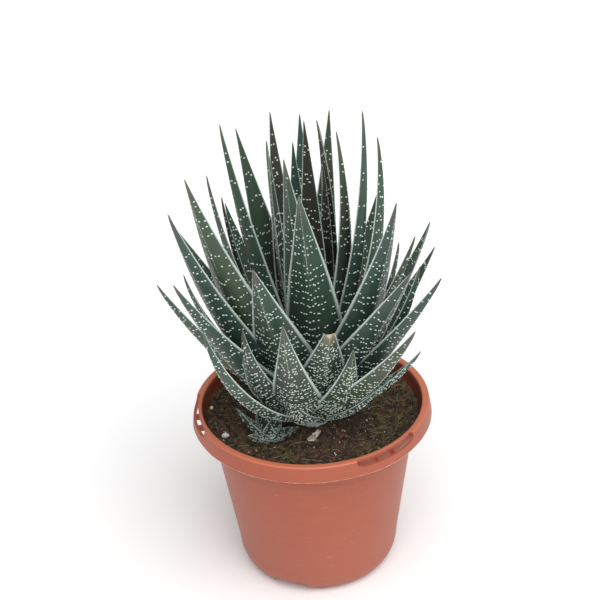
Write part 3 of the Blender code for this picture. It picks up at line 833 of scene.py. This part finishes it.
def make_pot(terracotta):
    channel_top = POT_HEIGHT - RIM_THICKNESS
    foot_inner = FOOT_RADIUS - FOOT_RING
    ridges = []
    for drop in reversed(RIDGE_DROPS):
        z = SKIRT_LOW - drop
        ridges += [(wall_radius(z), z), (wall_radius(z) + RIDGE_STEP, z + RIDGE_STEP)]
    edge = []
    for turn in (0, 30, 60, 90):
        angle = math.radians(turn)
        edge.append((RIM_RADIUS - RIM_ROUND * (1 - math.cos(angle)), POT_HEIGHT - RIM_ROUND * (1 - math.sin(angle))))
    lip = [(RIM_OPENING + RIM_ROUND * (1 - math.sin(math.radians(turn))),
            POT_HEIGHT - RIM_ROUND * (1 - math.cos(math.radians(turn)))) for turn in (0, 30, 60)]
    outer = [
        (0, FOOT_RAISE),
        (foot_inner - FOOT_RAISE / 2, FOOT_RAISE),
        (foot_inner, 0),
        (FOOT_RADIUS, 0),
        *quarter((FOOT_RADIUS, 0), (CORNER_RADIUS, CORNER_Z), 12),
        *[(wall_radius(z * MM), z * MM) for z in (28, 42, 56)],
        *ridges,
        (NECK_RADIUS, NECK_Z),
        *SHOULDER,
        (RIM_OPENING + WALL, channel_top),
        (RIM_RADIUS - SKIRT_WALL, channel_top),
        (RIM_RADIUS + SKIRT_FLARE - SKIRT_WALL, SKIRT_LOW),
        (RIM_RADIUS + SKIRT_FLARE, SKIRT_LOW),
        (RIM_RADIUS + SKIRT_FLARE / 2, (SKIRT_LOW + POT_HEIGHT) / 2),
        *edge,
        *lip,
    ]
    bm = turned(outer + inner_profile()[::-1], POT_SEGMENTS)
    pot = piece("pot_shell", bm, [terracotta], "pot")

    ribs = helper_collection("ribs")
    for degrees in SLOT_ANGLES:
        for offset in RIB_OFFSETS:
            bm = bmesh.new()
            bmesh.ops.create_cube(bm, size=1.0)
            length = RIM_RADIUS - RIB_START
            bmesh.ops.scale(bm, vec=(length, RIB, STRAP_HEIGHT - RIB_DROP), verts=bm.verts)
            middle = (RIB_START + length / 2, 0, SKIRT_LOW + STRAP_HEIGHT / 2)
            bmesh.ops.translate(bm, vec=middle, verts=bm.verts)
            turn = Matrix.Rotation(math.radians(degrees + offset), 4, "Z")
            bmesh.ops.transform(bm, matrix=turn, verts=bm.verts)
            helper("rib", bm, ribs)
    boolean(pot, ribs, "UNION")

    cutters = helper_collection("cutters")
    for degrees in SLOT_ANGLES:
        strap_top = SKIRT_LOW + STRAP_HEIGHT
        slot = arc_block(*SLOT_REACH, strap_top, POT_HEIGHT + WALL, degrees, SLOT_ARC, 28)
        for vert in slot.verts:
            reach = abs(angle_from(vert.co, degrees)) / (SLOT_ARC / 2)
            if vert.co.z < POT_HEIGHT:
                vert.co.z += SLOT_ROUND * (max(0, reach - SLOT_STRAIGHT) / (1 - SLOT_STRAIGHT)) ** 2
        helper("slot", slot, cutters)
    for degrees in NOTCH_ANGLES:
        notch = arc_block(*NOTCH_REACH, -WALL, WALL, degrees, NOTCH_ARC, 24)
        for vert in notch.verts:
            if vert.co.z > 0:
                outside = math.hypot(vert.co.x, vert.co.y) > sum(NOTCH_REACH) / 2
                reach = 1 - abs(angle_from(vert.co, degrees)) / (NOTCH_ARC / 2)
                rise = NOTCH_RISES[1 if outside else 0] + NOTCH_SINK
                vert.co.z = rise * min(1, NOTCH_SLOPE * reach) - NOTCH_SINK
        helper("notch", notch, cutters)
        hole = bmesh.new()
        bmesh.ops.create_cone(
            hole, cap_ends=True, segments=32, radius1=DRAIN_RADIUS, radius2=DRAIN_RADIUS, depth=DRAIN_DEPTH
        )
        bmesh.ops.translate(hole, vec=polar(DRAIN_RING, degrees, FOOT_RAISE), verts=hole.verts)
        helper("drain", hole, cutters)
    boolean(pot, cutters, "DIFFERENCE")
    for vert in pot.data.vertices:
        bulged(vert)
    pot.data.shade_smooth()
    pot.data.set_sharp_from_angle(angle=math.radians(32))
    return pot


def make_flash(pale):
    """The thin torn line that the mould left along the lower edge of the rim."""
    radius = RIM_RADIUS + SKIRT_FLARE
    profile = ((radius - FLASH, SKIRT_LOW + FLASH / 2), (radius - FLASH, SKIRT_LOW - FLASH),
               (radius + FLASH / 2, SKIRT_LOW), (radius - FLASH, SKIRT_LOW + FLASH / 2))
    bm = turned(profile, 288)
    for vert in bm.verts:
        torn = noise.noise(vert.co * 260) + 0.6 * noise.noise(vert.co * 900)
        vert.co.z += FLASH * 0.9 * min(0.5, torn) - FLASH * 0.2
        bulged(vert)
    piece("pot_flash_line", bm, [pale], "pot")


# Soil and what lies on it


def soil_height(x, y):
    swell = math.sin(x / LONG_SWELL + 0.6) * math.cos(y / LONG_SWELL - 0.4)
    swell += 0.5 * math.sin((1.4 * x - y) / SHORT_SWELL)
    reach = min(1, math.hypot(x, y) / SOIL_EDGE)
    return SOIL_LEVEL + SOIL_SWELL * swell * reach * (1 - reach ** 8) + SOIL_BANK * reach ** 5


def crumbly(x, y):
    """The soil's height with its clods."""
    place = Vector((x, y, 0))
    rough = 0.75 * noise.noise(place * 160) + 0.5 * noise.noise(place * 420) + 0.35 * noise.noise(place * 1000)
    return soil_height(x, y) + rough * MM * (1 - min(1, place.length / SOIL_EDGE) ** 16)


def make_soil(peat):
    inside = [point for point in inner_profile() if point[1] < SOIL_LEVEL + SOIL_BANK - MM]
    side = [(max(r - 0.1 * MM, 0), z) for r, z in inside]
    rings = [(SOIL_EDGE * (1 - ring / SOIL_RINGS), POT_HEIGHT) for ring in range(SOIL_RINGS + 1)]
    bm = turned(side + rings, SOIL_SEGMENTS)
    for vert in bm.verts:
        if vert.co.z > POT_HEIGHT - MM:
            vert.co.z = crumbly(vert.co.x, vert.co.y)
    return piece("peat_surface", bm, [peat], "soil")


def scatter(rng, count, inner=9 * MM, outer=53 * MM):
    """Places spread evenly over the soil."""
    for _ in range(count):
        radius = math.sqrt(rng.uniform(inner ** 2, outer ** 2))
        angle = rng.uniform(0, 360)
        yield polar(radius, angle, 0)


def make_crumbs(name, finish, rng, places, sizes, flat=0.7, sink=0.3):
    gathered = bmesh.new()
    bm = bmesh.new()
    for count, place in enumerate(places):
        if count % 40 == 39:
            pour(bm, gathered)
            bm = bmesh.new()
        size = rng.uniform(*sizes)
        shape = Matrix.Diagonal((size, size * rng.uniform(0.6, 1.0), size * flat * rng.uniform(0.6, 1.1), 1))
        turn = Matrix.Rotation(rng.uniform(0, 6.28), 4, "Z") @ Matrix.Rotation(rng.uniform(-0.5, 0.5), 4, "X")
        height = crumbly(place.x, place.y) + size * flat * (1 - 2 * sink)
        where = Matrix.Translation((place.x, place.y, height))
        made = bmesh.ops.create_icosphere(bm, subdivisions=1, radius=1, matrix=where @ turn @ shape)["verts"]
        for vert in made:
            vert.co += Vector((rng.uniform(-1, 1), rng.uniform(-1, 1), rng.uniform(-1, 1))) * size * 0.16
    pour(bm, gathered)
    return piece(name, gathered, [finish], "soil", smooth=False)


def make_strands(name, finish, rng, places, lengths, radius, rise, bend):
    """Thin curved strands that start on the soil and arch over it."""
    gathered = bmesh.new()
    for start in places:
        bm = bmesh.new()
        length = rng.uniform(*lengths)
        heading = rng.uniform(0, 6.28)
        swing = rng.uniform(-bend, bend)
        lift = rng.uniform(0.2, 1.0) * rise
        steps = 6
        line = []
        x, y = start.x, start.y
        for step in range(steps + 1):
            share = step / steps
            line.append((x, y, lift * math.sin(math.pi * min(1, share * 1.05))))
            x += length / steps * math.cos(heading + swing * share)
            y += length / steps * math.sin(heading + swing * share)
        thick = radius * rng.uniform(0.6, 1.2)
        aside = Vector((-math.sin(heading), math.cos(heading), 0))

        def place(u, v):
            step = min(steps, max(0, round(v * (steps + 2)) - 1))
            x, y, high = line[step]
            outside = max(1, math.hypot(x, y) / (53.6 * MM))
            x, y = x / outside, y / outside
            middle = Vector((x, y, crumbly(x, y) + high + thick * 0.5))
            if v in (0, 1) or round(v * (steps + 2)) in (0, steps + 2):
                return middle
            turn = 2 * math.pi * u
            return middle + aside * thick * math.cos(turn) + UP * thick * math.sin(turn)

        tube(bm, 3, steps + 2, place)
        bmesh.ops.recalc_face_normals(bm, faces=bm.faces)
        pour(bm, gathered)
    return piece(name, gathered, [finish], "soil")


def make_moss(name, finish, rng, count):
    """Short upright blades in clumps."""
    gathered = bmesh.new()
    for place in scatter(rng, count, 14 * MM):
        if noise.noise(place * 55 + Vector((0.3, 0.2, 0))) < 0.05:
            continue
        bm = bmesh.new()
        for _ in range(rng.randint(3, 6)):
            x = place.x + rng.gauss(0, 0.8) * MM
            y = place.y + rng.gauss(0, 0.8) * MM
            if math.hypot(x, y) > 53 * MM:
                continue
            aim = Vector((rng.gauss(0, 0.5), rng.gauss(0, 0.5), 1))
            length = rng.uniform(0.9, 2.2) * MM
            turn = aim.to_track_quat("Z", "Y").to_matrix().to_4x4()
            where = Matrix.Translation((x, y, crumbly(x, y) - 0.2 * MM)) @ turn
            bmesh.ops.create_cone(
                bm,
                cap_ends=True,
                segments=3,
                radius1=0.2 * MM,
                radius2=0.03 * MM,
                depth=length,
                matrix=where @ Matrix.Translation((0, 0, length / 2)),
            )
        pour(bm, gathered)
    return piece(name, gathered, [finish], "soil", smooth=False)


def make_loose_things(scrap_finish, bead_finish, chip_finish):
    low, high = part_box("dry_leaf_scrap")
    bm = bmesh.new()
    bmesh.ops.create_grid(bm, x_segments=16, y_segments=8, size=0.5)
    for vert in bm.verts:
        x, y = vert.co.x, vert.co.y
        narrow = 1 - 0.55 * (x + 0.5) ** 2
        ragged = 1 + 0.22 * noise.noise(Vector((x * 9, y * 5, 2)))
        lift = 0.6 * (x + 0.5) ** 2 + 0.5 * y * y + 0.2 * noise.noise(Vector((x * 6, y * 6, 5)))
        vert.co = Vector((x * SCRAP_SIZE[0] * ragged, y * SCRAP_SIZE[1] * narrow * ragged, lift * 1.6 * MM))
    bmesh.ops.solidify(bm, geom=bm.faces[:], thickness=0.25 * MM)
    turn = Matrix.Rotation(math.radians(SCRAP_TURN), 3, "Z")
    bmesh.ops.rotate(bm, matrix=turn, verts=bm.verts)
    bmesh.ops.translate(bm, vec=(*SCRAP_PLACE, low.z + 0.2 * MM), verts=bm.verts)
    bmesh.ops.recalc_face_normals(bm, faces=bm.faces)
    piece("scrap_of_dry_leaf", bm, [scrap_finish], "dry_leaf_scrap")

    for node, name, finish, rough in (("feed_bead", "bead_of_feed", bead_finish, 0.03),
                                      ("pale_chip", "chip_of_stone", chip_finish, 0.14)):
        low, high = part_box(node)
        middle = (low + high) / 2
        half = (high - low) / 2
        bm = bmesh.new()
        bmesh.ops.create_icosphere(bm, subdivisions=4, radius=1)
        for vert in bm.verts:
            vert.co *= 1 - rough * (0.5 + 0.5 * noise.noise(vert.co * 1.6) + 0.25 * noise.noise(vert.co * 6))
            vert.co = Vector((vert.co.x * half.x, vert.co.y * half.y, vert.co.z * half.z)) + middle
        piece(name, bm, [finish], node)


# Light, floor and camera


def make_stage():
    bm = bmesh.new()
    bmesh.ops.create_grid(bm, x_segments=8, y_segments=8, size=4)
    mesh = bpy.data.meshes.new("pale_floor")
    bm.to_mesh(mesh)
    bm.free()
    floor = Finish("pale_floor", 0.7)
    tone = floor.blend(floor.mottle(floor.place(), 6, 2), colour(0.86, 0.86, 0.86), colour(0.90, 0.90, 0.90))
    mesh.materials.append(floor.use(Base_Color=tone, Specular_IOR_Level=0.2))
    obj = bpy.data.objects.new("pale_floor", mesh)
    obj.location.z = -0.0002
    bpy.context.scene.collection.objects.link(obj)

    world = bpy.data.worlds.new("soft_studio")
    bpy.context.scene.world = world
    world.use_nodes = True
    world.node_tree.nodes["Background"].inputs["Color"].default_value = (1, 1, 1, 1)
    world.node_tree.nodes["Background"].inputs["Strength"].default_value = 0.55

    light = bpy.data.lights.new("soft_overhead", "SUN")
    light.energy = 2.9
    light.angle = math.radians(60)
    obj = bpy.data.objects.new("soft_overhead", light)
    obj.rotation_euler = Vector((-0.3, 0.85, -1.25)).to_track_quat("-Z", "Y").to_euler()
    bpy.context.scene.collection.objects.link(obj)
    bpy.context.scene.view_settings.view_transform = "Standard"


def make_camera():
    tilt = math.radians(CAMERA_TILT)
    roll = math.radians(CAMERA_ROLL)
    back = Vector((0, -math.cos(tilt), math.sin(tilt)))
    level = Vector((1, 0, 0))
    upright = back.cross(level)
    right = level * math.cos(roll) + upright * math.sin(roll)
    up = -level * math.sin(roll) + upright * math.cos(roll)
    pixel = CAMERA_AWAY / FOCAL_PIXELS
    camera = bpy.data.cameras.new("photo_camera")
    camera.lens = CAMERA_LENS
    camera.sensor_width = 36
    camera.clip_start = 0.05
    camera.clip_end = 20
    obj = bpy.data.objects.new("photo_camera", camera)
    middle = Vector(LOOK_AT) - right * PICTURE_OFFSET[0] * pixel + up * PICTURE_OFFSET[1] * pixel
    obj.matrix_world = Matrix.Translation(middle + back * CAMERA_AWAY) @ Matrix((right, up, back)).transposed().to_4x4()
    bpy.context.scene.collection.objects.link(obj)
    bpy.context.scene.camera = obj


def main():
    brown_end = (0.16, 0.115, 0.10)
    skins = {
        "green": leaf_skin("skin_green", (0.105, 0.145, 0.075), (0.038, 0.073, 0.048), (0.048, 0.082, 0.062),
                           brown_end, (0.030, 0.056, 0.036)),
        "blue": leaf_skin("skin_blue_green", (0.085, 0.125, 0.09), (0.037, 0.070, 0.055), (0.046, 0.078, 0.067),
                          brown_end, (0.026, 0.052, 0.043)),
        "olive": leaf_skin("skin_olive", (0.12, 0.15, 0.06), (0.046, 0.073, 0.038), (0.053, 0.080, 0.052),
                           brown_end, (0.046, 0.064, 0.038)),
        "grey": leaf_skin("skin_grey_green", (0.09, 0.12, 0.08), (0.056, 0.080, 0.060), (0.066, 0.086, 0.066),
                          brown_end, (0.036, 0.056, 0.042)),
        "brown": leaf_skin("skin_brown_green", (0.07, 0.07, 0.05), (0.038, 0.046, 0.033), (0.066, 0.070, 0.056),
                           (0.20, 0.145, 0.13), (0.038, 0.035, 0.027)),
        "torn": leaf_skin("skin_torn", (0.08, 0.11, 0.06), (0.052, 0.080, 0.056), (0.066, 0.085, 0.058),
                          (0.50, 0.40, 0.26), (0.030, 0.050, 0.036)),
        "stem": leaf_skin("stem_skin", (0.10, 0.09, 0.05), (0.07, 0.075, 0.04), (0.07, 0.075, 0.04),
                          (0.09, 0.08, 0.05), (0.06, 0.06, 0.035)),
    }
    white = tubercle_white()
    make_rosette(skins, white)
    make_offset(skins, white)

    terracotta = moulded_terracotta()
    make_pot(terracotta)
    make_flash(plain_tone("torn_edge", (0.60, 0.27, 0.19), (0.80, 0.62, 0.52), 0.5, 300))

    make_soil(damp_peat())
    rng = random.Random(11)
    dark = plain_tone("dark_crumb", (0.010, 0.007, 0.005), (0.055, 0.033, 0.02), 0.95, 500, 0.8)
    bark = plain_tone("bark_crumb", (0.05, 0.026, 0.014), (0.13, 0.075, 0.042), 0.9, 500, 0.8)
    pale = plain_tone("pale_crumb", (0.16, 0.12, 0.07), (0.42, 0.36, 0.25), 0.85, 500, 0.6)
    grain = plain_tone("white_grain", (0.45, 0.44, 0.38), (0.75, 0.74, 0.68), 0.7, 500)
    make_crumbs("peat_crumbs", dark, rng, scatter(rng, 900), (0.5 * MM, 1.5 * MM))
    make_crumbs("bark_crumbs", bark, rng, scatter(rng, 520), (0.35 * MM, 1.2 * MM))
    make_crumbs("pale_crumbs", pale, rng, scatter(rng, 260), (0.2 * MM, 0.6 * MM))
    make_crumbs("white_grains", grain, rng, scatter(rng, 60), (0.25 * MM, 0.6 * MM))
    fibre = plain_tone("pale_fibre", (0.16, 0.11, 0.055), (0.36, 0.27, 0.15), 0.8, 400)
    root = plain_tone("brown_fibre", (0.045, 0.024, 0.013), (0.12, 0.065, 0.035), 0.85, 400)
    make_strands("pale_fibres", fibre, rng, scatter(rng, 240), (3 * MM, 15 * MM), 0.12 * MM, 1.6 * MM, 2.6)
    make_strands("brown_fibres", root, rng, scatter(rng, 260), (3 * MM, 10 * MM), 0.16 * MM, 1.3 * MM, 2.4)
    moss = plain_tone("moss_blade", (0.055, 0.060, 0.012), (0.17, 0.17, 0.045), 0.8, 300)
    make_moss("moss", moss, rng, 700)
    make_loose_things(
        plain_tone("papery_scrap", (0.42, 0.36, 0.27), (0.72, 0.68, 0.60), 0.85, 400),
        plain_tone("feed_coating", (0.50, 0.48, 0.24), (0.66, 0.62, 0.36), 0.45, 300, Coat_Weight=0.2),
        plain_tone("grey_stone", (0.42, 0.39, 0.34), (0.72, 0.69, 0.62), 0.75, 500, 0.6),
    )
    make_stage()
    make_camera()


main()
